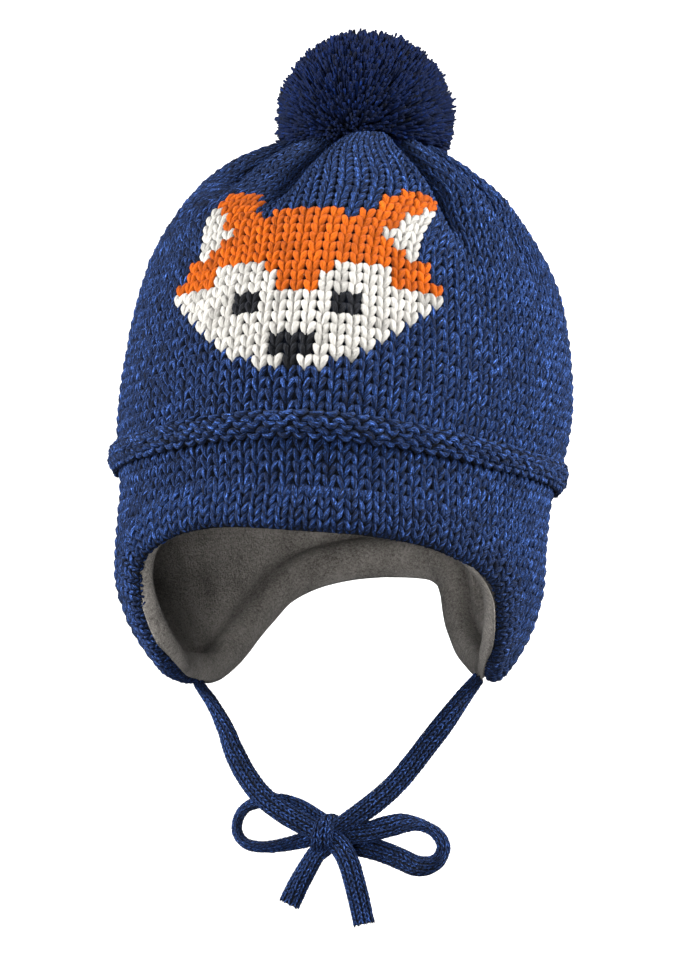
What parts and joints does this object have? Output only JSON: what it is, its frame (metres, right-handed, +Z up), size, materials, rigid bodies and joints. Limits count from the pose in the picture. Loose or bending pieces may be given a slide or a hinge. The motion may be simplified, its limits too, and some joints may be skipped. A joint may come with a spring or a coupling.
{
  "type": "child's knitted pom-pom hat",
  "caption": "Gathered knitted winter hat with ear flaps, fleece lining, a pompom and two tie cords in a bow, an animal face worked into the front.",
  "frame": {"origin": "the middle of the head opening, level with the front rim, where a head holds the hat", "axes": "+Z up to the pompom, -Y towards the face, +X towards the ear flap on the right of the picture"},
  "size_m": [0.1624, 0.1911, 0.3235],
  "materials": {
    "denim_knit": "marled wool knit, matt",
    "grey_fleece": "melange fleece, matt",
    "navy_yarn": "cut yarn pile, matt"
  },
  "bodies": {
    "root": {"crown": "denim_knit", "welt": "denim_knit", "brim_band": "denim_knit", "edge_band": "denim_knit", "lining": "grey_fleece", "pompom": "navy_yarn", "left_tie": "denim_knit", "right_tie": "denim_knit", "left_tail": "denim_knit", "right_tail": "denim_knit", "left_loop": "denim_knit", "right_loop": "denim_knit", "bow_knot": "denim_knit"}
  },
  "joints": []
}
